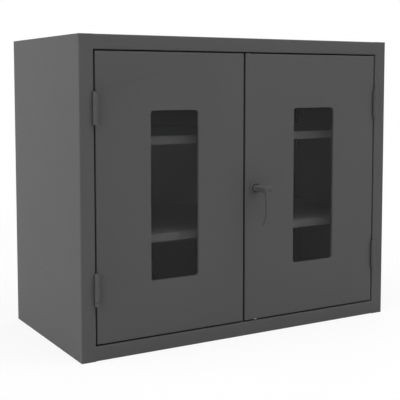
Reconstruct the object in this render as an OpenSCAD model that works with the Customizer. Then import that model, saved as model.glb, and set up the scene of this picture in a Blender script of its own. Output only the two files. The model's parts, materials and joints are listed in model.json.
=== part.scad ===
// Tool cabinet of welded sheet steel, with two flush doors that each have a tall narrow window.
// Millimetres. +X is to the right, +Y to the back, +Z up. The origin is the middle of the base.

/* [Cabinet] */
// Width over the side panels
cabinet_w = 914.4; // [860:0.1:1220]
// Depth from the face of the frame to the back
cabinet_d = 457.2; // [380:0.1:610]
// Height
cabinet_h = 762; // [740:0.1:860]
// Thickness of the sheet steel
sheet_t = 2; // [1.5:0.1:2.2]
// Outside radius of the bends in the sheet
bend_r = 3.4; // [3:0.1:4.5]

/* [Face frame] */
// Width of the upright at each side of the doors
stile_w = 36.5; // [34:0.1:45]
// Height of the rail above the doors
top_rail_h = 35; // [30:0.1:45]
// Height of the rail below the doors, which is also the height of the floor
bottom_rail_h = 36; // [30:0.1:45]
// Depth of the edge that the frame turns back beside the doors
frame_return = 30; // [28:0.1:40]
// Width of the flange turned in round the base
base_flange = 12; // [10:1:14]
// Width of the flange turned in at the back of each side
rear_flange = 22; // [16:1:40]

/* [Doors] */
// Gap between each door and the frame
door_gap = 3.2; // [3:0.1:4]
// Gap between the two doors
centre_gap = 5; // [4:0.1:7]
// How far that gap lies to the left of the cabinet's middle
gap_offset = 9; // [0:0.5:12]
// Depth of the edge folded round each door
door_depth = 25.4; // [24:0.1:27]

/* [Windows] */
// Width of the window opening
window_w = 131; // [90:0.1:160]
// Height of the window opening
window_h = 410; // [250:0.1:450]
// Height of the middle of the windows
window_z = 379.5; // [340:0.1:400]
// Corner radius of the window opening
window_r = 9; // [6:0.1:25]
// Thickness of the clear pane
pane_t = 3; // [2:0.1:4]

/* [Shelves] */
// Height of the lower shelf's top, a whole number of slots
lower_shelf_slot = 22; // [12:1:30]
// Height of the upper shelf's top, a whole number of slots
upper_shelf_slot = 41; // [34:1:50]
// Height of the shelf's front edge
shelf_edge_h = 22; // [18:0.1:30]
// Distance from the face of the frame to the shelf's front edge
shelf_setback = 45; // [40:1:80]
// Distance from one slot of the shelf standards to the next
slot_pitch = 12.7; // [12.7:0.1:14]

/* [Hinges] */
// Height of each hinge
hinge_h = 76.2; // [60:0.1:90]
// Diameter of the hinge barrel
barrel_d = 12; // [10:0.1:13]
// Distance from the face of the frame out to the hinge pin's axis
barrel_proud = 4.5; // [4:0.1:6]
// Distance from the cabinet's top or bottom to the middle of a hinge
hinge_inset = 170; // [120:1:200]

/* [Handle] */
// Distance from the cabinet's middle to the handle's axis
handle_x = 22; // [20:0.1:30]
// Height of the handle's axis
handle_z = 382; // [375:0.1:395]
// How far the hub's face stands off the door
hub_proud = 68; // [55:0.1:75]
// Length of the lever below the handle's axis
lever_len = 91; // [70:0.1:110]
// Angle that the handle turns
handle_turn = 90; // [60:1:90]

/* [Colours] */
// Powder coat
paint_colour = "#515355";
// Clear window panes
pane_colour = "#8fa3ad66";
// Zinc plated fasteners and latch parts
zinc_colour = "#b4b6b2";
// Nylon guides
nylon_colour = "#26282a";
// Rubber bumpers
rubber_colour = "#1b1b1c";

/* [Hidden] */
$fn = 48;

// The frame's main planes
half_w = cabinet_w / 2;
front_y = -cabinet_d / 2;
back_y = cabinet_d / 2;
inner_half_w = half_w - sheet_t;
stile_x = half_w - stile_w;
back_panel_y = back_y - 2 * sheet_t;
frame_top_z = cabinet_h - top_rail_h;

// The doors. Both windows stand at the same distance from the cabinet's middle.
door_hinge_x = stile_x - door_gap;
window_x = (door_hinge_x + centre_gap / 2) / 2;
door_bottom_z = bottom_rail_h + door_gap;
door_top_z = frame_top_z - door_gap;
door_mid_z = (door_bottom_z + door_top_z) / 2;
door_half_h = (door_top_z - door_bottom_z) / 2;

// The window pane laps behind the door's face, and a frame with studs holds it
pane_lap = 12;
retainer_lap = 24;
retainer_t = 2;
rim_t = 2;
stud_r = 2;
stud_inset = 5.5;
stud_len = 9;
nut_af = 7;
nut_h = 3;
studs_along = 4;

// Hinge details: the barrel has a long top knuckle, a longer middle one and a short bottom one
hinge_x = stile_x - door_gap / 2;
hinge_y = front_y - barrel_proud;
upper_hinge_z = cabinet_h - hinge_inset;
lower_hinge_z = hinge_inset;
barrel_r = barrel_d / 2;
leaf_t = 1.5;
leaf_back_y = front_y + 24;
top_knuckle_h = hinge_h * 0.367;
bottom_knuckle_h = hinge_h * 0.118;
knuckle_gap = 0.6;
pin_r = 3;
running_gap = 0.05;
pin_head_r = 4.6;
pin_head_h = 1.2;
relief_r = barrel_r + 0.9;
relief_end = 1.2;
knuckle_levels = [
    [0, bottom_knuckle_h],
    [bottom_knuckle_h + knuckle_gap, hinge_h - top_knuckle_h - knuckle_gap],
    [hinge_h - top_knuckle_h, hinge_h]
];

// Shelf standards and clips
standard_w = 22;
standard_d = 8;
standard_t = 1.5;
slot_w = 12;
slot_h = 3.4;
first_slot = 6;
last_slot = floor((frame_top_z - 30) / slot_pitch);
standard_front_y = front_y + 75;
standard_rear_y = back_panel_y - 45;
standard_face_x = inner_half_w - standard_d;
shelf_end_gap = 1.2;
shelf_lip = 14;
shelf_rear_gap = 4;
clip_t = 2;
clip_w = 11;
clip_reach = 22;
clip_drop = 20;

// Door stops, whose plates stand just behind the frame's return, and their bumpers
stop_w = 90;
stop_h = 24;
stop_foot = 26;
stop_y = front_y + frame_return + bend_r - sheet_t;
top_stop_lap = 8;
bumper_r = 5;
bumper_gap = 0.6;
bumper_h = stop_y - front_y - door_depth - bumper_gap;
bumper_spread = 32;
bumper_inset = 5.5;

// Handle and lock, measured outwards from the door's face along the handle's axis
shaft_r = 6;
escutcheon_r = 14;
escutcheon_h = 6;
cup_r = 10.8;
cup_floor = 2.5;
neck_r = 8.4;
neck_start = cup_floor + 0.3;
groove_r = 3.6;
hub_r = 11.5;
hub_h = 11;
hub_base = hub_proud - hub_h;
groove_x = neck_r + 0.8;
groove_low_z = neck_start + 15.5;
groove_high_z = hub_base - 10;
plug_r = 5.5;
plug_depth = 12;
plug_proud = 0.6;
keyway_w = 1.6;
keyway_l = 7;
lever_t = 9;
lever_top_w = 19;
lever_waist_w = 14.5;
lever_end_w = 18;
lever_waist_at = 0.74;
lever_curl = 9;
lever_steps = 20;

// Latch parts behind the door's face
mounting_nut_h = 5;
mounting_nut_af = 30;
barrel_end = -(sheet_t + mounting_nut_h + 0.5);
escutcheon_barrel_r = 10;
cam_r = 17;
cam_t = 2.5;
cam_front = barrel_end - 0.5;
cam_square = 8;
cam_stud_r = 4;
cam_nut_h = 3;
cam_nut_af = 14;
cam_pin_radius = 13;
cam_pin_r = 2.5;
cam_pin_end = cam_front - 10;
cam_pin_x = cam_pin_radius * cos(handle_turn / 2);
cam_pin_z = cam_pin_radius * sin(handle_turn / 2);
yoke_t = 3;
yoke_depth = -(cam_front - cam_t - cam_nut_h - 0.5) + yoke_t / 2;
yoke_slack = 0.5;
yoke_wall = 4;
yoke_bar = 26;
rod_r = 4;
rod_gap = 0.08;
rod_offset = 12;
rod_tip_gap = 1;
rod_y = front_y + yoke_depth;
strike_r = rod_r + 2;
guide_t = 2;
guide_w = 14;
guide_foot = 16;
guide_span = 182;
bushing_r = 6.5;
bushing_flange_r = 8;
bushing_flange_h = 2;

// ---- Shared shapes -------------------------------------------------------------------

// A quarter of a disc, whose first edge points at the angle
module quarter_disc(r, angle) {
    rotate(angle)
        intersection() {
            circle(r);
            square(r + 1);
        }
}

// The outline of one bend in the sheet
module bend_outline(angle) {
    difference() {
        quarter_disc(bend_r, angle);
        circle(bend_r - sheet_t);
    }
}

// The outline of a bent sheet: straight runs, each but the last followed by a bend.
// A turn of 1 bends to the left and -1 to the right. The first run lies along +X.
module bent_sheet(runs, turns, i = 0) {
    square([runs[i], sheet_t]);
    if (i < len(turns) && turns[i] > 0)
        translate([runs[i], bend_r]) {
            bend_outline(270);
            translate([bend_r, 0]) rotate(90) bent_sheet(runs, turns, i + 1);
        }
    if (i < len(turns) && turns[i] < 0)
        translate([runs[i], sheet_t - bend_r]) {
            bend_outline(0);
            translate([bend_r - sheet_t, 0]) rotate(-90) bent_sheet(runs, turns, i + 1);
        }
}

// A rectangle about the origin with round corners
module round_rectangle(w, h, r) {
    square([w - 2 * r, h], center = true);
    for (side = [-1, 1]) {
        translate([side * (w - r) / 2, 0]) square([r, h - 2 * r], center = true);
        for (end = [-1, 1])
            translate([side * (w / 2 - r), end * (h / 2 - r)])
                quarter_disc(r, side > 0 ? (end > 0 ? 0 : 270) : (end > 0 ? 90 : 180));
    }
}

// Draws an outline whose X is the object's +Y and whose Y is its +Z, from x0 to x1
module along_x(x0, x1) {
    translate([x0, 0, 0]) rotate([90, 0, 90]) linear_extrude(x1 - x0) children();
}

// Draws a front outline from y0 to y1
module along_y(y0, y1) {
    translate([0, y1, 0]) rotate([90, 0, 0]) linear_extrude(y1 - y0) children();
}

module along_z(z0, z1) {
    translate([0, 0, z0]) linear_extrude(z1 - z0) children();
}

// A cuboid from its two corners
module block(low, high) {
    translate(low) cube(high - low);
}

// Left parts are the right ones mirrored
module on_side(side) {
    if (side == "left") mirror([1, 0, 0]) children();
    else children();
}

// The handle's own frame: Z points out of the door, and X and Y are as seen from the front
module on_handle_axis() {
    translate([handle_x, front_y, handle_z]) rotate([90, 0, 0]) children();
}

// A turned shape about Z from its [radius, height] points
module turned(points) {
    rotate_extrude() polygon(points);
}

// ---- Cabinet body --------------------------------------------------------------------

// The side panel's plan: rear flange, side, stile, and the edge turned back beside the door
module side_plan(with_return) {
    last_run = with_return ? [stile_w - 2 * bend_r, frame_return - bend_r] : [stile_w - bend_r];
    translate([half_w - rear_flange, back_y])
        mirror([0, 1])
            bent_sheet(concat([rear_flange - bend_r, cabinet_d - 2 * bend_r], last_run),
                       with_return ? [1, 1, 1] : [1, 1]);
}

// The round recess in the frame and the door edge that the hinge barrel sits in
module hinge_reliefs() {
    for (z = [upper_hinge_z, lower_hinge_z])
        translate([hinge_x, hinge_y, z - hinge_h / 2 - relief_end])
            cylinder(r = relief_r, h = hinge_h + 2 * relief_end);
}

module side_panel(side) {
    color(paint_colour) on_side(side) difference() {
        union() {
            along_z(0, bottom_rail_h) side_plan(false);
            along_z(bottom_rail_h, frame_top_z) side_plan(true);
            along_z(frame_top_z, cabinet_h) side_plan(false);
        }
        hinge_reliefs();
    }
}

// The top sheet, its front edge bent down as the top rail and back again over the doors
module top_panel() {
    top_d = back_y - sheet_t - front_y;
    color(paint_colour) difference() {
        union() {
            along_x(-stile_x, stile_x)
                translate([back_y - sheet_t, cabinet_h])
                    rotate(180)
                        bent_sheet([top_d - bend_r, top_rail_h - 2 * bend_r, frame_return - bend_r],
                                   [1, 1]);
            for (side = ["left", "right"])
                on_side(side) along_z(cabinet_h - sheet_t, cabinet_h) top_wing();
        }
        strike_holes();
    }
}

// The top sheet's end behind the stile, clear of the insides of the side panel's bends
module top_wing() {
    inner_r = bend_r - sheet_t;
    translate([stile_x, front_y + sheet_t])
        square([inner_half_w - inner_r - stile_x, cabinet_d - 2 * sheet_t]);
    translate([inner_half_w - inner_r, front_y + bend_r])
        square([inner_r, cabinet_d - 2 * bend_r]);
}

// The holes in the frame that the latch rods enter
module strike_holes() {
    translate([handle_x - rod_offset, rod_y, frame_top_z - 1]) cylinder(r = strike_r, h = sheet_t + 2);
    translate([handle_x + rod_offset, rod_y, bottom_rail_h - sheet_t - 1])
        cylinder(r = strike_r, h = sheet_t + 2);
}

// The floor, bent down in front as the bottom rail, with a skirt and a flange round the base
module bottom_panel() {
    color(paint_colour) difference() {
        union() {
            along_x(-stile_x, stile_x)
                translate([front_y + bend_r + 1, bottom_rail_h])
                    rotate(180)
                        bent_sheet([1, bottom_rail_h - 2 * bend_r, 1], [1, 1]);
            along_z(bottom_rail_h - sheet_t, bottom_rail_h) floor_outline();
            along_z(0, sheet_t) difference() {
                floor_outline();
                base_opening(base_flange);
            }
            along_z(sheet_t, bottom_rail_h - sheet_t) difference() {
                floor_outline();
                base_opening(sheet_t);
                translate([-half_w, front_y - 1]) square([cabinet_w, bend_r + 1 + sheet_t]);
            }
        }
        strike_holes();
    }
}

module floor_outline() {
    start_y = front_y + bend_r;
    translate([-inner_half_w, start_y]) square([2 * inner_half_w, back_panel_y - start_y]);
}

module base_opening(flange) {
    x = inner_half_w - flange;
    y0 = front_y + flange;
    translate([-x, y0]) square([2 * x, back_panel_y - flange - y0]);
}

module back_panel() {
    half_l = half_w - bend_r;
    color(paint_colour)
        block([-half_l, back_panel_y, 0], [half_l, back_panel_y + sheet_t, cabinet_h - sheet_t]);
}

// ---- Shelves -------------------------------------------------------------------------

// A slotted channel that carries the shelf clips
module shelf_standard(side, y) {
    z0 = bottom_rail_h + 8;
    z1 = frame_top_z - 8;
    color(paint_colour) on_side(side) difference() {
        block([standard_face_x, y - standard_w / 2, z0], [inner_half_w, y + standard_w / 2, z1]);
        block([standard_face_x + standard_t, y - standard_w / 2 + standard_t, z0 - 1],
              [inner_half_w + 1, y + standard_w / 2 - standard_t, z1 + 1]);
        for (k = [first_slot : last_slot])
            translate([standard_face_x, y, k * slot_pitch])
                cube([3 * standard_t, slot_w, slot_h], center = true);
    }
}

module shelf(top_z) {
    half_l = standard_face_x - shelf_end_gap;
    depth = back_panel_y - shelf_rear_gap - front_y - shelf_setback;
    color(paint_colour)
        along_x(-half_l, half_l)
            translate([back_panel_y - shelf_rear_gap - shelf_lip, top_z - shelf_edge_h])
                bent_sheet([shelf_lip - bend_r, shelf_edge_h - 2 * bend_r, depth - 2 * bend_r,
                            shelf_edge_h - 2 * bend_r, shelf_lip - bend_r],
                           [1, 1, 1, 1]);
}

// The four clips under one shelf: a tab, a plate down the standard, and a hook in the slot
module shelf_clips(top_z) {
    under_z = top_z - sheet_t;
    color(zinc_colour)
        for (side = ["left", "right"], y = [standard_front_y, standard_rear_y])
            on_side(side) {
                block([standard_face_x - clip_reach, y - clip_w / 2, under_z - clip_t],
                      [standard_face_x, y + clip_w / 2, under_z]);
                block([standard_face_x - clip_t, y - clip_w / 2, under_z - clip_t - clip_drop],
                      [standard_face_x, y + clip_w / 2, under_z - clip_t]);
                translate([standard_face_x + standard_t / 2, y, top_z - slot_pitch])
                    cube([standard_t + 1, clip_w, slot_h - 0.4], center = true);
            }
}

// ---- Door stops ----------------------------------------------------------------------

// An angle whose foot is welded on top of the top rail's return, behind the doors' free edges
module top_door_stop() {
    color(paint_colour)
        along_x(-gap_offset - stop_w / 2, -gap_offset + stop_w / 2)
            translate([front_y + frame_return - top_stop_lap, frame_top_z + sheet_t])
                bent_sheet([top_stop_lap, stop_h], [-1]);
}

// The same on the floor, with its foot to the back
module bottom_door_stop() {
    color(paint_colour)
        along_x(-gap_offset - stop_w / 2, -gap_offset + stop_w / 2)
            translate([stop_y, bottom_rail_h + stop_h])
                rotate(-90)
                    bent_sheet([stop_h - bend_r, stop_foot - bend_r], [1]);
}

module door_bumpers() {
    color(rubber_colour)
        for (side = [-1, 1], z = [door_bottom_z + bumper_inset, door_top_z - bumper_inset])
            translate([side * bumper_spread - gap_offset, stop_y, z])
                rotate([90, 0, 0])
                    turned([[0, 0], [bumper_r, 0], [bumper_r - 0.8, bumper_h - 0.8],
                            [bumper_r - 1.6, bumper_h], [0, bumper_h]]);
}

// ---- Hinges --------------------------------------------------------------------------

// One leaf in the hinge pin's own frame, lying on the side of +X, with some of the knuckles
module hinge_leaf(levels, bore_r, direction) {
    plate_y0 = barrel_r + 0.6;
    plate_x = door_gap / 2 - leaf_t;
    mirror([direction > 0 ? 0 : 1, 0, 0]) difference() {
        union() {
            block([plate_x, plate_y0, 0], [plate_x + leaf_t, leaf_back_y - hinge_y, hinge_h]);
            for (level = levels) {
                translate([0, 0, level[0]]) cylinder(r = barrel_r, h = level[1] - level[0]);
                block([plate_x, 0, level[0]], [plate_x + leaf_t, plate_y0 + 1, level[1]]);
            }
        }
        translate([0, 0, -1]) cylinder(r = bore_r, h = hinge_h + 2);
    }
}

module at_hinge(side, z) {
    on_side(side) translate([hinge_x, hinge_y, z - hinge_h / 2]) children();
}

module hinge_frame_leaf(side, z) {
    color(paint_colour) at_hinge(side, z) hinge_leaf([knuckle_levels[1]], pin_r, 1);
}

module hinge_door_leaf(side, z) {
    color(paint_colour)
        at_hinge(side, z)
            hinge_leaf([knuckle_levels[0], knuckle_levels[2]], pin_r + running_gap, -1);
}

module hinge_pin(side, z) {
    head_z = hinge_h + 0.2;
    color(paint_colour)
        at_hinge(side, z)
            turned([[0, -0.4], [pin_r - 0.6, -0.4], [pin_r, 0.2], [pin_r, head_z],
                    [pin_head_r, head_z], [pin_head_r - 0.7, head_z + pin_head_h], [0, head_z + pin_head_h]]);
}

// ---- Doors ---------------------------------------------------------------------------

// The free edge of a door, whose own X runs from the cabinet's middle to the hinge
function door_free_x(side) = centre_gap / 2 + (side == "left" ? gap_offset : -gap_offset);

// A door as a plain block with its four front edges rounded, inset all round
module door_block(side, inset, r, depth) {
    x0 = door_free_x(side) + inset;
    x1 = door_hinge_x - inset;
    z0 = door_bottom_z + inset;
    z1 = door_top_z - inset;
    y0 = front_y + inset;
    intersection() {
        along_z(z0, z1) {
            translate([x0, y0 + r]) square([x1 - x0, depth - r]);
            translate([x0 + r, y0]) square([x1 - x0 - 2 * r, r]);
            translate([x0 + r, y0 + r]) quarter_disc(r, 180);
            translate([x1 - r, y0 + r]) quarter_disc(r, 270);
        }
        along_x(x0 - 1, x1 + 1) {
            translate([y0 + r, z0]) square([depth - r, z1 - z0]);
            translate([y0, z0 + r]) square([r, z1 - z0 - 2 * r]);
            translate([y0 + r, z0 + r]) quarter_disc(r, 180);
            translate([y0 + r, z1 - r]) quarter_disc(r, 90);
        }
    }
}

module at_window(side) {
    on_side(side) translate([window_x, 0, window_z]) children();
}

// A steel pan: the face with its four edges folded back, and the window cut out
module door_panel(side) {
    color(paint_colour) difference() {
        on_side(side) difference() {
            door_block(side, 0, bend_r, door_depth);
            door_block(side, sheet_t, bend_r - sheet_t, door_depth + 10);
            hinge_reliefs();
        }
        at_window(side)
            along_y(front_y - 1, front_y + sheet_t + 1) round_rectangle(window_w, window_h, window_r);
        if (side == "right") {
            on_handle_axis() translate([0, 0, -sheet_t - 1])
                cylinder(r = escutcheon_barrel_r + 0.2, h = sheet_t + 2);
            for (end = [-1, 1])
                rod_line(end, bushing_r, door_half_h - 2 * sheet_t, door_half_h + 1);
        }
    }
}

// A cylinder about the upper (1) or lower (-1) rod's line, between two distances from mid height
module rod_line(end, r, from, to) {
    translate([handle_x - end * rod_offset, rod_y, door_mid_z])
        mirror([0, 0, end > 0 ? 0 : 1])
            translate([0, 0, from]) cylinder(r = r, h = to - from);
}

// A hat-shaped channel down the inside of the door, beside the window
module door_stiffener(side) {
    flange = 14;
    rise = 16;
    crown = 34;
    length = door_half_h - 8;
    color(paint_colour) on_side(side)
        along_z(door_mid_z - length, door_mid_z + length)
            translate([door_hinge_x - 82 - flange - crown / 2, front_y + sheet_t])
                bent_sheet([flange - bend_r + sheet_t, rise - 2 * bend_r + sheet_t,
                            crown - 2 * bend_r, rise - 2 * bend_r + sheet_t,
                            flange - bend_r + sheet_t], [1, -1, -1, 1]);
}

module window_pane(side) {
    color(pane_colour) at_window(side)
        along_y(front_y + sheet_t, front_y + sheet_t + pane_t)
            square([window_w + 2 * pane_lap, window_h + 2 * pane_lap], center = true);
}

// A pressed frame whose outer rim stands on the door and whose flat holds the pane's edge
module window_retainer(side) {
    outer = [window_w + 2 * retainer_lap, window_h + 2 * retainer_lap];
    y0 = front_y + sheet_t;
    color(paint_colour) at_window(side) difference() {
        union() {
            along_y(y0 + pane_t, y0 + pane_t + retainer_t) difference() {
                round_rectangle(outer[0], outer[1], 6);
                round_rectangle(window_w, window_h, window_r);
            }
            along_y(y0, y0 + pane_t) difference() {
                round_rectangle(outer[0], outer[1], 6);
                square([outer[0] - 2 * rim_t, outer[1] - 2 * rim_t], center = true);
            }
        }
        stud_places() translate([0, 0, y0]) cylinder(r = stud_r + 0.3, h = 20);
    }
}

// Places its children round the window, with their Z pointing into the cabinet
module stud_places() {
    x = window_w / 2 + retainer_lap - stud_inset;
    z = window_h / 2 + retainer_lap - stud_inset;
    rotate([-90, 0, 0]) {
        for (side = [-1, 1], k = [0 : studs_along - 1])
            translate([side * x, z - k * 2 * z / (studs_along - 1), 0]) children();
        for (end = [-1, 1])
            translate([0, end * z, 0]) children();
    }
}

module window_studs(side) {
    color(zinc_colour) at_window(side)
        stud_places() translate([0, 0, front_y + sheet_t]) cylinder(r = stud_r, h = stud_len);
}

module window_nuts(side) {
    color(zinc_colour) at_window(side)
        stud_places()
            translate([0, 0, front_y + sheet_t + pane_t + retainer_t]) difference() {
                cylinder(d = nut_af / cos(30), h = nut_h, $fn = 6);
                translate([0, 0, -1]) cylinder(r = stud_r, h = nut_h + 2);
            }
}

// ---- Handle and lock -----------------------------------------------------------------

// The round base on the door: a cup that the neck turns in, and the barrel that goes
// through the door and carries the shaft
module handle_escutcheon() {
    bore = shaft_r + running_gap;
    color(paint_colour) on_handle_axis()
        turned([[bore, barrel_end], [escutcheon_barrel_r, barrel_end], [escutcheon_barrel_r, 0],
                [escutcheon_r, 0], [escutcheon_r, escutcheon_h - 2],
                [escutcheon_r - 0.5, escutcheon_h - 0.6], [escutcheon_r - 1.6, escutcheon_h],
                [cup_r + 0.6, escutcheon_h - 0.4], [cup_r, escutcheon_h - 1.2],
                [cup_r, cup_floor], [bore, cup_floor]]);
}

module handle_mounting_nut() {
    color(zinc_colour) on_handle_axis()
        translate([0, 0, -sheet_t - mounting_nut_h]) difference() {
            cylinder(d = mounting_nut_af / cos(30), h = mounting_nut_h, $fn = 6);
            translate([0, 0, -1]) cylinder(r = escutcheon_barrel_r, h = mounting_nut_h + 2);
        }
}

// The lever's half width and its middle's distance from the door, for s from 0 at the axis to 1
function blend(a, b, s) = a + (b - a) * (3 - 2 * s) * s * s;
function lever_width(s) = s < lever_waist_at
    ? blend(lever_top_w, lever_waist_w, s / lever_waist_at)
    : blend(lever_waist_w, lever_end_w, (s - lever_waist_at) / (1 - lever_waist_at));
function lever_stand(s) = hub_proud - hub_h / 2
    - (s < 0.6 ? 0 : blend(0, lever_curl, (s - 0.6) / 0.4));

module lever_arm() {
    steps = [for (i = [0 : lever_steps]) i / lever_steps];
    down = [for (s = steps) [lever_width(s) / 2, -s * lever_len]];
    side_out = [for (s = steps) [-s * lever_len, lever_stand(s) + lever_t / 2]];
    side_in = [for (i = [lever_steps : -1 : 0])
        [-steps[i] * lever_len, lever_stand(steps[i]) - lever_t / 2]];
    intersection() {
        linear_extrude(hub_proud)
            polygon(concat(down, [for (i = [lever_steps : -1 : 0]) [-down[i][0], down[i][1]]]));
        rotate([90, 0, 90]) translate([0, 0, -lever_top_w])
            linear_extrude(2 * lever_top_w) polygon(concat(side_out, side_in));
    }
}

// The long groove in each side of the neck, with round ends
module neck_grooves() {
    for (side = [-1, 1])
        translate([side * groove_x, 0, 0]) {
            translate([0, 0, groove_low_z]) cylinder(r = groove_r, h = groove_high_z - groove_low_z);
            for (z = [groove_low_z, groove_high_z])
                translate([0, 0, z]) sphere(groove_r);
        }
}

// One casting: the shaft through the door, the grooved neck, the hub and the lever
module handle_lever() {
    color(paint_colour) on_handle_axis() difference() {
        union() {
            turned([[0, cam_front], [shaft_r, cam_front], [shaft_r, neck_start],
                    [neck_r, neck_start], [neck_r, hub_base - 5], [neck_r - 1.2, hub_base - 3.5],
                    [neck_r - 1.2, hub_base - 1.5], [hub_r - 1, hub_base], [hub_r, hub_base + 1.5],
                    [hub_r, hub_proud - 2], [hub_r - 0.6, hub_proud - 0.6], [hub_r - 2, hub_proud],
                    [0, hub_proud]]);
            lever_arm();
            translate([-cam_square / 2, -cam_square / 2, cam_front - cam_t])
                cube([cam_square, cam_square, cam_t]);
            translate([0, 0, cam_front - cam_t - cam_nut_h])
                cylinder(r = cam_stud_r, h = cam_nut_h);
        }
        neck_grooves();
        translate([0, 0, hub_proud - plug_depth]) cylinder(r = plug_r + running_gap, h = plug_depth + 1);
    }
}

// The lock's plug in the hub, with its keyway
module lock_plug() {
    top = hub_proud + plug_proud;
    bottom = hub_proud - plug_depth + 0.1;
    color(paint_colour) on_handle_axis() difference() {
        turned([[0, bottom], [plug_r, bottom], [plug_r, top - 0.5], [plug_r - 0.5, top], [0, top]]);
        translate([0, 0, top])
            cube([keyway_w, keyway_l, 8], center = true);
    }
}

// The plate on the shaft's end, whose two pins drive the rods
module latch_cam() {
    color(zinc_colour) on_handle_axis() difference() {
        union() {
            translate([0, 0, cam_front - cam_t]) cylinder(r = cam_r, h = cam_t);
            for (end = [-1, 1])
                translate([-end * cam_pin_x, end * cam_pin_z, cam_pin_end])
                    cylinder(r = cam_pin_r, h = cam_front - cam_t / 2 - cam_pin_end);
        }
        cube([cam_square, cam_square, 60], center = true);
    }
}

module latch_cam_nut() {
    color(zinc_colour) on_handle_axis()
        translate([0, 0, cam_front - cam_t - cam_nut_h]) difference() {
            cylinder(d = cam_nut_af / cos(30), h = cam_nut_h, $fn = 6);
            translate([0, 0, -1]) cylinder(r = cam_stud_r, h = cam_nut_h + 2);
        }
}

// A rod with a slotted flat bar at the cam. The upper rod is end 1 and the lower one is end -1.
module latch_rod(end) {
    tip = end > 0 ? frame_top_z - rod_tip_gap - handle_z : handle_z - bottom_rail_h - rod_tip_gap;
    slot_x0 = cam_pin_x - cam_pin_r - yoke_slack;
    slot_x1 = cam_pin_radius + cam_pin_r + yoke_slack;
    slot_half_h = cam_pin_r + yoke_slack;
    bar_x0 = slot_x0 - 2.5;
    bar_x1 = slot_x1 + 2.5;
    rod_start = cam_pin_z + yoke_bar - 6;
    color(zinc_colour)
        translate([handle_x, rod_y, handle_z])
            mirror([0, 0, end > 0 ? 0 : 1]) mirror([end > 0 ? 1 : 0, 0, 0]) {
                along_y(-yoke_t / 2, yoke_t / 2) difference() {
                    translate([bar_x0, cam_pin_z - slot_half_h - yoke_wall])
                        square([bar_x1 - bar_x0, slot_half_h + yoke_wall + yoke_bar]);
                    translate([slot_x0, cam_pin_z - slot_half_h])
                        square([slot_x1 - slot_x0, 2 * slot_half_h]);
                }
                translate([rod_offset, 0, rod_start]) cylinder(r = rod_r, h = tip - rod_start - 1);
                translate([rod_offset, 0, tip - 1]) cylinder(r1 = rod_r, r2 = rod_r - 1, h = 1);
            }
}

// A bent tab on the door with a hole for the rod
module rod_guide(end) {
    from = guide_span;
    y0 = front_y + sheet_t;
    color(zinc_colour) difference() {
        translate([handle_x - end * rod_offset, 0, door_mid_z])
            mirror([0, 0, end > 0 ? 0 : 1]) {
                block([-guide_w / 2, y0, from], [guide_w / 2, y0 + guide_t, from + guide_foot]);
                block([-guide_w / 2, y0, from],
                      [guide_w / 2, rod_y + rod_r + 2, from + guide_t]);
            }
        rod_line(end, rod_r + rod_gap, from - 1, from + guide_t + 1);
    }
}

// A nylon bushing in the door's folded edge
module rod_bushing(end) {
    color(nylon_colour) difference() {
        union() {
            rod_line(end, bushing_r, door_half_h - sheet_t, door_half_h);
            rod_line(end, bushing_flange_r, door_half_h - sheet_t - bushing_flange_h,
                     door_half_h - sheet_t);
        }
        rod_line(end, rod_r + rod_gap, door_half_h - 20, door_half_h + 1);
    }
}

// ---- The parts by name ---------------------------------------------------------------

side_panel("left");  // left_side_panel
side_panel("right");  // right_side_panel
top_panel();
bottom_panel();
back_panel();
shelf_standard("left", standard_front_y);  // front_left_shelf_standard
shelf_standard("left", standard_rear_y);  // rear_left_shelf_standard
shelf_standard("right", standard_front_y);  // front_right_shelf_standard
shelf_standard("right", standard_rear_y);  // rear_right_shelf_standard
shelf(upper_shelf_slot * slot_pitch);  // upper_shelf
shelf(lower_shelf_slot * slot_pitch);  // lower_shelf
shelf_clips(upper_shelf_slot * slot_pitch);  // upper_shelf_clips
shelf_clips(lower_shelf_slot * slot_pitch);  // lower_shelf_clips
top_door_stop();
bottom_door_stop();
door_bumpers();
hinge_frame_leaf("left", upper_hinge_z);  // left_upper_hinge_frame_leaf
hinge_frame_leaf("left", lower_hinge_z);  // left_lower_hinge_frame_leaf
hinge_frame_leaf("right", upper_hinge_z);  // right_upper_hinge_frame_leaf
hinge_frame_leaf("right", lower_hinge_z);  // right_lower_hinge_frame_leaf
hinge_door_leaf("left", upper_hinge_z);  // left_upper_hinge_door_leaf
hinge_door_leaf("left", lower_hinge_z);  // left_lower_hinge_door_leaf
hinge_door_leaf("right", upper_hinge_z);  // right_upper_hinge_door_leaf
hinge_door_leaf("right", lower_hinge_z);  // right_lower_hinge_door_leaf
hinge_pin("left", upper_hinge_z);  // left_upper_hinge_pin
hinge_pin("left", lower_hinge_z);  // left_lower_hinge_pin
hinge_pin("right", upper_hinge_z);  // right_upper_hinge_pin
hinge_pin("right", lower_hinge_z);  // right_lower_hinge_pin
door_panel("left");  // left_door_panel
door_panel("right");  // right_door_panel
door_stiffener("left");  // left_door_stiffener
door_stiffener("right");  // right_door_stiffener
window_pane("left");  // left_window_pane
window_pane("right");  // right_window_pane
window_retainer("left");  // left_window_retainer
window_retainer("right");  // right_window_retainer
window_studs("left");  // left_window_studs
window_studs("right");  // right_window_studs
window_nuts("left");  // left_window_nuts
window_nuts("right");  // right_window_nuts
handle_escutcheon();
handle_mounting_nut();
handle_lever();
lock_plug();
latch_cam();
latch_cam_nut();
latch_rod(1);  // upper_latch_rod
latch_rod(-1);  // lower_latch_rod
rod_guide(1);  // upper_rod_guide
rod_guide(-1);  // lower_rod_guide
rod_bushing(1);  // upper_rod_bushing
rod_bushing(-1);  // lower_rod_bushing
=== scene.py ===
import json
import math

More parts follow.
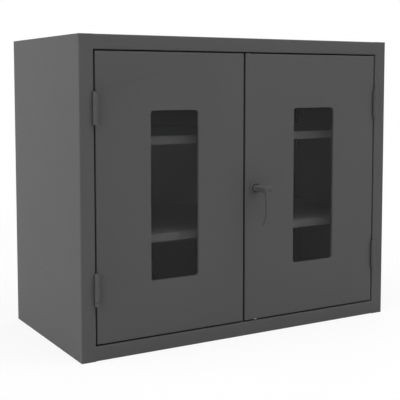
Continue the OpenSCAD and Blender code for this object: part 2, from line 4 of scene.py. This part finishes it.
import bmesh
import bpy
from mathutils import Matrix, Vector


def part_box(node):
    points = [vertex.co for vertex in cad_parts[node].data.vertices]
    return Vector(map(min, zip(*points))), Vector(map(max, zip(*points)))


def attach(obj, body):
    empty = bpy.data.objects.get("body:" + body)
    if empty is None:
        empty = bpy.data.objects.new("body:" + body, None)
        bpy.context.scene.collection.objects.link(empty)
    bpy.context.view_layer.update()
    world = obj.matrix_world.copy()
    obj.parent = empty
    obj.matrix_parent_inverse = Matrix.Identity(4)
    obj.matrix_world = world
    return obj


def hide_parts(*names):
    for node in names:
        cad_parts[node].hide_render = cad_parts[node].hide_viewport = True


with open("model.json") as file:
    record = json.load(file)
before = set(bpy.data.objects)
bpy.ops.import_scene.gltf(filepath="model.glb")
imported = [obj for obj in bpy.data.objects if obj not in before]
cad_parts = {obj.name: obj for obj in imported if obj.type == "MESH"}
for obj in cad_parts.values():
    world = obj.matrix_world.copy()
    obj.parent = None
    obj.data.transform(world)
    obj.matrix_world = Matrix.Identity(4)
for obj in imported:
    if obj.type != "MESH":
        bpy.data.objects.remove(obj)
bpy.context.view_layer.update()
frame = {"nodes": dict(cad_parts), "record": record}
print("frame loaded:", len(frame["nodes"]), "nodes")

mm = 0.001
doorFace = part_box("right_door_panel")[0].y
escutcheonLow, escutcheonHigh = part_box("handle_escutcheon")
handleX = (escutcheonLow.x + escutcheonHigh.x) / 2
handleZ = (escutcheonLow.z + escutcheonHigh.z) / 2

# the body and the finish that the record gives each node
bodyOf = {}
for bodyName, members in frame["record"]["behaviour"]["bodies"].items():
    for member in members:
        bodyOf[member] = bodyName
slotOf = {}
for row in frame["record"]["subparts"]:
    slotOf[row["node"]] = row["material_slot"]


def handlePlace(out):
    # the spot on the handle's axis this many millimetres out of the door
    return (handleX, doorFace - out * mm, handleZ)


# the camera, at the photo's viewing angle
photoCamera = {
    "place": (-1.2126, -2.0610, 0.6504),  # metres
    "yaw": 30.34,  # degrees to the right of straight at the doors
    "pitch": 4.44,  # degrees down
    "roll": -0.03,
    "lens": 77.98,
    "sensorWidth": 36,
    "shiftY": -0.125,  # less than the photo's own, so that the cabinet stays in the frame of every view
    "clipStart": 0.05,
    "clipEnd": 60,
}


def makeCamera(settings):
    bpy.ops.object.camera_add(location=settings["place"])
    camera = bpy.context.active_object
    camera.name = "photoCamera"
    tilt = math.radians(90 - settings["pitch"])
    camera.rotation_euler = (tilt, -math.radians(settings["roll"]), -math.radians(settings["yaw"]))
    camera.data.lens = settings["lens"]
    camera.data.sensor_width = settings["sensorWidth"]
    camera.data.shift_y = settings["shiftY"]
    camera.data.clip_start = settings["clipStart"]
    camera.data.clip_end = settings["clipEnd"]
    bpy.context.scene.camera = camera
    bpy.context.scene.view_settings.view_transform = "Standard"


# the room: a pale floor that goes over to plain white, and soft lamps round it
studio = {
    "ambient": 0.06,  # what the room gives on every side
    "floorColour": 0.82,
    "floorSize": 30,
    "floorGlow": 0.86,  # how much of the floor near the cabinet is plain white
    "glowFrom": 0.7,  # metres from the middle, where the floor starts to go all white
    "glowTo": 2.6,
}
lamps = {  # places and sizes in metres, powers in watts
    "topLamp": {"place": (0, -0.6, 3.2), "aim": (0, -0.3, 0.4), "size": (2.5, 2.5), "power": 73},
    "leftLamp": {"place": (-2.922, -0.665, 1.579), "aim": (0, -0.15, 0.38), "size": (2.2, 2.2), "power": 51},
    "farLamp": {"place": (-5.038, 2.529, 2.234), "aim": (0, -0.15, 0.38), "size": (3.5, 3.5), "power": 108},
    "rightLamp": {"place": (1.685, -1.33, 2.831), "aim": (0, -0.15, 0.38), "size": (1.8, 1.8), "power": 20},
    "frontLamp": {"place": (1.484, -2.72, 1.579), "aim": (0, -0.15, 0.38), "size": (2.2, 2.2), "power": 16.5},
    "lowLamp": {"place": (0.1, -1.6, 0.03), "aim": (0.1, -0.2, 0.45), "size": (3, 0.9), "power": 4},
    "backLamp": {"place": (2.4, 2.6, 1.5), "aim": (0.2, 0, 0.4), "size": (2.2, 2.2), "power": 70},
}


def seenDirectly(nodes, links):
    # 1 for rays from the camera, from gloss and from clear panes, else 0
    path = nodes.new("ShaderNodeLightPath")
    first = nodes.new("ShaderNodeMath")
    first.operation = "MAXIMUM"
    links.new(path.outputs["Is Camera Ray"], first.inputs[0])
    links.new(path.outputs["Is Glossy Ray"], first.inputs[1])
    second = nodes.new("ShaderNodeMath")
    second.operation = "MAXIMUM"
    links.new(first.outputs[0], second.inputs[0])
    links.new(path.outputs["Is Transmission Ray"], second.inputs[1])
    return second.outputs[0]


def makeWorld(settings):
    world = bpy.data.worlds.new("studioRoom")
    bpy.context.scene.world = world
    world.use_nodes = True
    nodes = world.node_tree.nodes
    links = world.node_tree.links
    nodes.clear()
    out = nodes.new("ShaderNodeOutputWorld")
    mix = nodes.new("ShaderNodeMixShader")
    room = nodes.new("ShaderNodeBackground")
    room.inputs["Color"].default_value = (1, 1, 1, 1)
    room.inputs["Strength"].default_value = settings["ambient"]
    white = nodes.new("ShaderNodeBackground")
    white.inputs["Color"].default_value = (1, 1, 1, 1)
    white.inputs["Strength"].default_value = 1
    links.new(seenDirectly(nodes, links), mix.inputs["Fac"])
    links.new(room.outputs[0], mix.inputs[1])
    links.new(white.outputs[0], mix.inputs[2])
    links.new(mix.outputs[0], out.inputs["Surface"])


def floorMaterial(settings):
    material = bpy.data.materials.new("studioFloor")
    material.use_nodes = True
    nodes = material.node_tree.nodes
    links = material.node_tree.links
    nodes.clear()
    out = nodes.new("ShaderNodeOutputMaterial")
    mix = nodes.new("ShaderNodeMixShader")
    paint = nodes.new("ShaderNodeBsdfDiffuse")
    paint.inputs["Color"].default_value = (settings["floorColour"],) * 3 + (1,)
    white = nodes.new("ShaderNodeEmission")
    white.inputs["Strength"].default_value = 1
    place = nodes.new("ShaderNodeTexCoord")
    reach = nodes.new("ShaderNodeVectorMath")
    reach.operation = "LENGTH"
    links.new(place.outputs["Object"], reach.inputs[0])
    fade = nodes.new("ShaderNodeMapRange")
    fade.inputs["From Min"].default_value = settings["glowFrom"]
    fade.inputs["From Max"].default_value = settings["glowTo"]
    fade.inputs["To Min"].default_value = settings["floorGlow"]
    fade.inputs["To Max"].default_value = 1
    links.new(reach.outputs["Value"], fade.inputs["Value"])
    share = nodes.new("ShaderNodeMath")
    share.operation = "MULTIPLY"
    links.new(seenDirectly(nodes, links), share.inputs[0])
    links.new(fade.outputs["Result"], share.inputs[1])
    links.new(share.outputs[0], mix.inputs["Fac"])
    links.new(paint.outputs[0], mix.inputs[1])
    links.new(white.outputs[0], mix.inputs[2])
    links.new(mix.outputs[0], out.inputs["Surface"])
    return material


def makeFloor(settings):
    bpy.ops.mesh.primitive_plane_add(size=settings["floorSize"], location=(0, 0, 0))
    floor = bpy.context.active_object
    floor.name = "studioFloor"
    floor.data.materials.append(floorMaterial(settings))


def makeLamp(name, settings):
    bpy.ops.object.light_add(type="AREA", location=settings["place"])
    lamp = bpy.context.active_object
    lamp.name = name
    lamp.data.shape = "RECTANGLE"
    lamp.data.size = settings["size"][0]
    lamp.data.size_y = settings["size"][1]
    lamp.data.energy = settings["power"]
    aim = Vector(settings["aim"]) - Vector(settings["place"])
    lamp.rotation_euler = aim.to_track_quat("-Z", "Y").to_euler()
    lamp.visible_camera = False
    lamp.visible_glossy = False


makeCamera(photoCamera)
makeWorld(studio)
makeFloor(studio)
for lampName, lampSettings in lamps.items():
    makeLamp(lampName, lampSettings)
print("camera and studio made")


def startMaterial(name):
    material = bpy.data.materials.new(name)
    material.use_nodes = True
    shader = material.node_tree.nodes["Principled BSDF"]
    return material, material.node_tree.nodes, material.node_tree.links, shader


def noiseAt(nodes, links, size, detail):
    # noise whose lumps are about this many metres apart
    place = nodes.new("ShaderNodeTexCoord")
    noise = nodes.new("ShaderNodeTexNoise")
    noise.inputs["Scale"].default_value = 1 / size
    noise.inputs["Detail"].default_value = detail
    links.new(place.outputs["Object"], noise.inputs["Vector"])
    return noise.outputs["Fac"]


noiseRange = (0.3, 0.7)  # where most of the noise's values lie


def cloudsOf(nodes, links, size, detail, limits):
    # noise spread from the lower limit to the upper one
    spread = nodes.new("ShaderNodeMapRange")
    spread.inputs["From Min"].default_value = noiseRange[0]
    spread.inputs["From Max"].default_value = noiseRange[1]
    spread.inputs["To Min"].default_value = limits[0]
    spread.inputs["To Max"].default_value = limits[1]
    links.new(noiseAt(nodes, links, size, detail), spread.inputs["Value"])
    return spread.outputs["Result"]


def product(nodes, links, first, second):
    times = nodes.new("ShaderNodeMath")
    times.operation = "MULTIPLY"
    links.new(first, times.inputs[0])
    links.new(second, times.inputs[1])
    return times.outputs[0]


def tinted(nodes, links, colour, shade):
    # the colour made lighter or darker by the shade
    scale = nodes.new("ShaderNodeVectorMath")
    scale.operation = "SCALE"
    scale.inputs[0].default_value = colour
    links.new(shade, scale.inputs["Scale"])
    return scale.outputs["Vector"]


def bumped(nodes, links, shader, size, strength, depth):
    # fine lumps of this size and depth in metres
    bump = nodes.new("ShaderNodeBump")
    bump.inputs["Strength"].default_value = strength
    bump.inputs["Distance"].default_value = depth
    links.new(noiseAt(nodes, links, size, 2), bump.inputs["Height"])
    links.new(bump.outputs["Normal"], shader.inputs["Normal"])


powderCoat = {  # sizes in metres; patch and grain lighten or darken the colour
    "colour": (0.083, 0.083, 0.083),
    "patchSize": 0.16,
    "patch": (0.985, 1.015),
    "grainSize": 0.0016,
    "grain": (0.94, 1.06),
    "roughSize": 0.006,
    "roughness": (0.56, 0.66),
    "specular": 0.14,
    "peelSize": 0.0022,
    "peelStrength": 0.28,
    "peelDepth": 0.0001,
}


def makePowderCoat(settings):
    material, nodes, links, shader = startMaterial("powderCoat")
    patch = cloudsOf(nodes, links, settings["patchSize"], 2, settings["patch"])
    grain = cloudsOf(nodes, links, settings["grainSize"], 1, settings["grain"])
    shade = product(nodes, links, patch, grain)
    links.new(tinted(nodes, links, settings["colour"], shade), shader.inputs["Base Color"])
    rough = cloudsOf(nodes, links, settings["roughSize"], 2, settings["roughness"])
    links.new(rough, shader.inputs["Roughness"])
    shader.inputs["Specular IOR Level"].default_value = settings["specular"]
    bumped(nodes, links, shader, settings["peelSize"], settings["peelStrength"], settings["peelDepth"])
    return material


zincPlate = {
    "colour": (0.46, 0.47, 0.46),
    "patchSize": 0.018,
    "patch": (0.86, 1.1),
    "grainSize": 0.0007,
    "grain": (0.95, 1.05),
    "roughSize": 0.0045,
    "roughness": (0.28, 0.44),
    "bumpStrength": 0.12,
    "bumpDepth": 0.00005,
}


def makeZincPlate(settings):
    material, nodes, links, shader = startMaterial("zincPlate")
    patch = cloudsOf(nodes, links, settings["patchSize"], 3, settings["patch"])
    grain = cloudsOf(nodes, links, settings["grainSize"], 1, settings["grain"])
    shade = product(nodes, links, patch, grain)
    links.new(tinted(nodes, links, settings["colour"], shade), shader.inputs["Base Color"])
    rough = cloudsOf(nodes, links, settings["roughSize"], 3, settings["roughness"])
    links.new(rough, shader.inputs["Roughness"])
    shader.inputs["Metallic"].default_value = 1
    bumped(nodes, links, shader, settings["grainSize"], settings["bumpStrength"], settings["bumpDepth"])
    return material


clearPane = {
    "colour": (0.28, 0.28, 0.28),
    "alpha": 0.04,
    "hazeSize": 0.09,
    "haze": (0.9, 1.1),
    "roughness": (0.18, 0.24),
    "specular": 0.3,
}


def makeClearPane(settings):
    material, nodes, links, shader = startMaterial("clearPane")
    haze = cloudsOf(nodes, links, settings["hazeSize"], 3, settings["haze"])
    links.new(tinted(nodes, links, settings["colour"], haze), shader.inputs["Base Color"])
    rough = cloudsOf(nodes, links, settings["hazeSize"], 4, settings["roughness"])
    links.new(rough, shader.inputs["Roughness"])
    shader.inputs["Alpha"].default_value = settings["alpha"]
    shader.inputs["Specular IOR Level"].default_value = settings["specular"]
    return material


blackNylon = {
    "name": "blackNylon",
    "colour": (0.02, 0.021, 0.023),
    "grainSize": 0.0009,
    "grain": (0.85, 1.15),
    "roughSize": 0.0036,
    "roughness": (0.45, 0.55),
    "bumpStrength": 0.2,
    "bumpDepth": 0.00008,
}
blackRubber = {
    "name": "blackRubber",
    "colour": (0.012, 0.012, 0.012),
    "grainSize": 0.0006,
    "grain": (0.85, 1.15),
    "roughSize": 0.0024,
    "roughness": (0.7, 0.8),
    "bumpStrength": 0.2,
    "bumpDepth": 0.00008,
}


def makeMoulded(settings):
    # matt moulded nylon or rubber, with a fine grain
    material, nodes, links, shader = startMaterial(settings["name"])
    grain = cloudsOf(nodes, links, settings["grainSize"], 2, settings["grain"])
    links.new(tinted(nodes, links, settings["colour"], grain), shader.inputs["Base Color"])
    rough = cloudsOf(nodes, links, settings["roughSize"], 2, settings["roughness"])
    links.new(rough, shader.inputs["Roughness"])
    bumped(nodes, links, shader, settings["grainSize"], settings["bumpStrength"], settings["bumpDepth"])
    return material


materials = {
    "powder_coat": makePowderCoat(powderCoat),
    "zinc_plate": makeZincPlate(zincPlate),
    "clear_pane": makeClearPane(clearPane),
    "nylon": makeMoulded(blackNylon),
    "rubber": makeMoulded(blackRubber),
}
print("materials made")


def deselectAll():
    bpy.ops.object.select_all(action="DESELECT")


def pick(piece):
    deselectAll()
    piece.select_set(True)
    bpy.context.view_layer.objects.active = piece


def applyModifiers(piece):
    pick(piece)
    for modifier in list(piece.modifiers):
        bpy.ops.object.modifier_apply(modifier=modifier.name)


def smoothByAngle(piece, degrees):
    pick(piece)
    bpy.ops.object.shade_smooth_by_angle(angle=math.radians(degrees))


# every node gets a finished copy of its solid, but for those that are modelled anew
remodelled = ["handle_lever"]
finishes = {  # the edge radius in millimetres, and the steps round it
    "sheet": {"edge": 0.35, "steps": 2},
    "turned": {"edge": 0.3, "steps": 2},
    "fastener": {"edge": 0.25, "steps": 1},
    "pane": {"edge": 0.4, "steps": 1},
}
merging = {
    "distance": 0.002,  # millimetres between corners that are one
    "flatUnder": 0.4,  # degrees, on one flat face
    "smoothUnder": 32,  # degrees, on one curved face
    "edgeOver": 38,  # degrees, at an edge that is broken
}


def finishNode(name, finish):
    # a copy of the node's solid with its triangles merged and its edges broken, as paint and wear leave them
    piece = bpy.data.objects.new(name + "_finished", frame["nodes"][name].data.copy())
    bpy.context.scene.collection.objects.link(piece)
    pick(piece)
    bpy.ops.object.mode_set(mode="EDIT")
    bpy.ops.mesh.select_all(action="SELECT")
    bpy.ops.mesh.remove_doubles(threshold=merging["distance"] * mm)
    bpy.ops.mesh.dissolve_limited(angle_limit=math.radians(merging["flatUnder"]))
    bpy.ops.object.mode_set(mode="OBJECT")
    smoothByAngle(piece, merging["smoothUnder"])
    bevel = piece.modifiers.new("edges", "BEVEL")
    bevel.width = finish["edge"] * mm
    bevel.segments = finish["steps"]
    bevel.limit_method = "ANGLE"
    bevel.angle_limit = math.radians(merging["edgeOver"])
    bevel.use_clamp_overlap = True
    bevel.harden_normals = True
    applyModifiers(piece)
    piece.data.materials.clear()
    piece.data.materials.append(materials[slotOf[name]])
    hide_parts(name)
    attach(piece, bodyOf[name])


def finishFor(name):
    if name.endswith("_pane"):
        return finishes["pane"]
    if name.endswith(("_nuts", "_studs", "_clips", "_nut", "_cam")):
        return finishes["fastener"]
    if name.endswith(("_rod", "_bushing", "_escutcheon", "_lever", "_plug", "_pin", "_leaf")):
        return finishes["turned"]
    return finishes["sheet"]


for nodeName in frame["nodes"]:
    if nodeName not in remodelled:
        finishNode(nodeName, finishFor(nodeName))
print("finished copies made")


def faceOutwards():
    bpy.ops.mesh.select_all(action="SELECT")
    bpy.ops.mesh.normals_make_consistent(inside=False)


def selectFaces(piece, wanted):
    # in edit mode, the faces whose middle and normal pass the test
    shape = bmesh.from_edit_mesh(piece.data)
    for face in shape.faces:
        face.select_set(wanted(face.calc_center_median(), face.normal))
    bmesh.update_edit_mesh(piece.data)


def joinPieces(first, others):
    pick(first)
    for other in others:
        other.select_set(True)
    bpy.ops.object.join()


def cutWith(piece, cutter):
    cut = piece.modifiers.new("cut", "BOOLEAN")
    cut.object = cutter
    cut.operation = "DIFFERENCE"
    cut.solver = "EXACT"
    applyModifiers(piece)
    bpy.data.objects.remove(cutter)


def addTurned(name, stations, sides):
    # a bar turned about the handle's axis, from pairs of distance out of the door and radius
    deselectAll()
    out, radius = stations[0]
    bpy.ops.mesh.primitive_circle_add(vertices=sides, radius=radius * mm, fill_type="NGON",
                                      location=handlePlace(out), rotation=(math.pi / 2, 0, 0))
    piece = bpy.context.active_object
    piece.name = name
    bpy.ops.object.transform_apply(location=True, rotation=True, scale=True)
    bpy.ops.object.mode_set(mode="EDIT")
    for nextOut, nextRadius in stations[1:]:
        bpy.ops.mesh.extrude_region_move(TRANSFORM_OT_translate={"value": (0, (out - nextOut) * mm, 0)})
        grow = nextRadius / radius
        bpy.ops.transform.resize(value=(grow, 1, grow), center_override=handlePlace(nextOut))
        out, radius = nextOut, nextRadius
    faceOutwards()
    bpy.ops.object.mode_set(mode="OBJECT")
    return piece


lever = {  # millimetres; distances are out of the door along the handle's axis
    "neckStart": 2.8,
    "neckRadius": 8.4,
    "neckEdge": 0.5,
    "neckSides": 64,
    "waist": ((5, 0), (3.5, 1), (1.5, 1)),  # pairs: back from the hub, in from the neck's radius
    "hubStart": 57,
    "hubRadius": 11.5,
    "hubBack": ((0, 1), (1.5, 0)),  # pairs: out from the hub's start, in from its radius
    "hubFace": 68,
    "hubFront": ((1.8, 0), (0.5, 0.6), (0, 1.8)),  # pairs: back from the hub's face, in from its radius
    "grooveRadius": 3.6,
    "grooveMiddle": 9.2,
    "grooveFrom": 18.3,
    "grooveTo": 47,
    "grooveSides": 32,
    "grooveEnd": 0.9,  # the roundness of the groove's ends
    "grooveEndSteps": 6,
    "length": 91,
    "thickness": 9,
    "topWidth": 19,
    "waistWidth": 14.5,
    "endWidth": 18,
    "waistAt": 0.74,
    "curl": 9,
    "curlFrom": 0.6,
    "steps": 14,
    "firstStep": 0.1,
    "edge": 2.4,
    "edgeSteps": 4,
    "edgeOver": 50,  # degrees
    "grain": 0.5,  # the size of the cells that blend the casting
    "ease": 0.5,
    "easeSteps": 6,
    "smoothUnder": 40,  # degrees
    "lockRadius": 5.55,
    "lockDepth": 12,
    "lockClear": 2,  # how far the cut for the lock stands out of the hub's face
    "shaftRadius": 5.95,
    "shaftEdge": 0.4,
    "shaftEnd": -8,
    "shaftOverlap": 1,  # how far the shaft runs into the neck
    "shaftSides": 48,
    "squareWidth": 8,
    "squareEnd": -10.5,
    "studRadius": 3.95,
    "studEdge": 0.5,
    "studEnd": -13.5,
    "studSides": 32,
    "overlap": 0.5,  # how far the square and the stud each run into what carries them
}


def eased(start, end, share):
    # from start to end along a soft curve, for a share from 0 to 1
    return start + (end - start) * (3 - 2 * share) * share * share


def armWidth(settings, share):
    # for a share of the arm's length from the hub
    if share < settings["waistAt"]:
        return eased(settings["topWidth"], settings["waistWidth"], share / settings["waistAt"])
    beyond = (share - settings["waistAt"]) / (1 - settings["waistAt"])
    return eased(settings["waistWidth"], settings["endWidth"], beyond)


def armStand(settings, share):
    # how far the middle of the arm is from the door
    level = (settings["hubStart"] + settings["hubFace"]) / 2
    if share < settings["curlFrom"]:
        return level
    return level - eased(0, settings["curl"], (share - settings["curlFrom"]) / (1 - settings["curlFrom"]))


def addArm(settings):
    # extruded downwards from the hub, a step at a time
    step = settings["length"] / settings["steps"]
    start = handlePlace(armStand(settings, 0))
    size = (settings["topWidth"] * mm, settings["thickness"] * mm, settings["firstStep"] * mm)
    deselectAll()
    bpy.ops.mesh.primitive_cube_add(size=1, location=start, scale=size)
    arm = bpy.context.active_object
    arm.name = "leverArm"
    bpy.ops.object.transform_apply(location=True, rotation=True, scale=True)
    bpy.ops.object.mode_set(mode="EDIT")
    bpy.ops.mesh.select_mode(type="FACE")
    selectFaces(arm, lambda middle, normal: normal.z < -0.9)
    for count in range(settings["steps"]):
        before = count / settings["steps"]
        here = (count + 1) / settings["steps"]
        outwards = (armStand(settings, before) - armStand(settings, here)) * mm
        bpy.ops.mesh.extrude_region_move(TRANSFORM_OT_translate={"value": (0, outwards, -step * mm)})
        grow = armWidth(settings, here) / armWidth(settings, before)
        bpy.ops.transform.resize(value=(grow, 1, 1), center_override=start)
    faceOutwards()
    bpy.ops.object.mode_set(mode="OBJECT")
    edge = arm.modifiers.new("edge", "BEVEL")
    edge.width = settings["edge"] * mm
    edge.segments = settings["edgeSteps"]
    edge.angle_limit = math.radians(settings["edgeOver"])
    applyModifiers(arm)
    return arm


def cutGrooves(neck, settings):
    # a long groove with round ends in each side of the neck
    radius = settings["grooveRadius"]
    middleX, middleY, middleZ = handlePlace((settings["grooveFrom"] + settings["grooveTo"]) / 2)
    length = settings["grooveTo"] - settings["grooveFrom"] + 2 * radius
    for side in (-1, 1):
        deselectAll()
        bpy.ops.mesh.primitive_cylinder_add(
            vertices=settings["grooveSides"], radius=radius * mm, depth=length * mm,
            location=(middleX + side * settings["grooveMiddle"] * mm, middleY, middleZ),
            rotation=(math.pi / 2, 0, 0))
        cutter = bpy.context.active_object
        bpy.ops.object.transform_apply(location=True, rotation=True, scale=True)
        ends = cutter.modifiers.new("ends", "BEVEL")
        ends.width = settings["grooveEnd"] * radius * mm
        ends.segments = settings["grooveEndSteps"]
        applyModifiers(cutter)
        cutWith(neck, cutter)


def neckStations(settings):
    # the outline of the neck and the hub
    stations = [(settings["neckStart"], settings["neckRadius"] - settings["neckEdge"]),
                (settings["neckStart"] + settings["neckEdge"], settings["neckRadius"])]
    for back, inwards in settings["waist"]:
        stations.append((settings["hubStart"] - back, settings["neckRadius"] - inwards))
    for out, inwards in settings["hubBack"]:
        stations.append((settings["hubStart"] + out, settings["hubRadius"] - inwards))
    for back, inwards in settings["hubFront"]:
        stations.append((settings["hubFace"] - back, settings["hubRadius"] - inwards))
    return stations


def blendCasting(neck, settings):
    # makes one casting of the neck and the arm, with soft inner corners
    blend = neck.modifiers.new("blend", "REMESH")
    blend.mode = "VOXEL"
    blend.voxel_size = settings["grain"] * mm
    ease = neck.modifiers.new("ease", "SMOOTH")
    ease.factor = settings["ease"]
    ease.iterations = settings["easeSteps"]
    applyModifiers(neck)


def cutLockHole(neck, settings):
    lockHole = addTurned("lockHole", [(settings["hubFace"] - settings["lockDepth"], settings["lockRadius"]),
                                      (settings["hubFace"] + settings["lockClear"], settings["lockRadius"])],
                         settings["shaftSides"])
    cutWith(neck, lockHole)


def addShaft(settings):
    return addTurned("shaft", [
        (settings["shaftEnd"], settings["shaftRadius"] - settings["shaftEdge"]),
        (settings["shaftEnd"] + settings["shaftEdge"], settings["shaftRadius"]),
        (settings["neckStart"] + settings["shaftOverlap"], settings["shaftRadius"])], settings["shaftSides"])


def addStud(settings):
    # the end of the shaft, which takes the nut of the latch cam
    return addTurned("stud", [
        (settings["studEnd"], settings["studRadius"] - settings["studEdge"]),
        (settings["studEnd"] + settings["studEdge"], settings["studRadius"]),
        (settings["squareEnd"] + settings["overlap"], settings["studRadius"])], settings["studSides"])


def addSquare(settings):
    # the square on the shaft's end, which carries the latch cam
    end = settings["shaftEnd"] + settings["overlap"]
    width = settings["squareWidth"] * mm
    deselectAll()
    bpy.ops.mesh.primitive_cube_add(size=1, location=handlePlace((settings["squareEnd"] + end) / 2),
                                    scale=(width, (end - settings["squareEnd"]) * mm, width))
    square = bpy.context.active_object
    bpy.ops.object.transform_apply(location=True, rotation=True, scale=True)
    return square


def makeLever(settings):
    neck = addTurned("leverCasting", neckStations(settings), settings["neckSides"])
    cutGrooves(neck, settings)
    joinPieces(neck, [addArm(settings)])
    blendCasting(neck, settings)
    cutLockHole(neck, settings)
    joinPieces(neck, [addShaft(settings), addStud(settings), addSquare(settings)])
    smoothByAngle(neck, settings["smoothUnder"])
    neck.data.materials.clear()
    neck.data.materials.append(materials["powder_coat"])
    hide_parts("handle_lever")
    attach(neck, "handle")


makeLever(lever)
print("lever handle made")
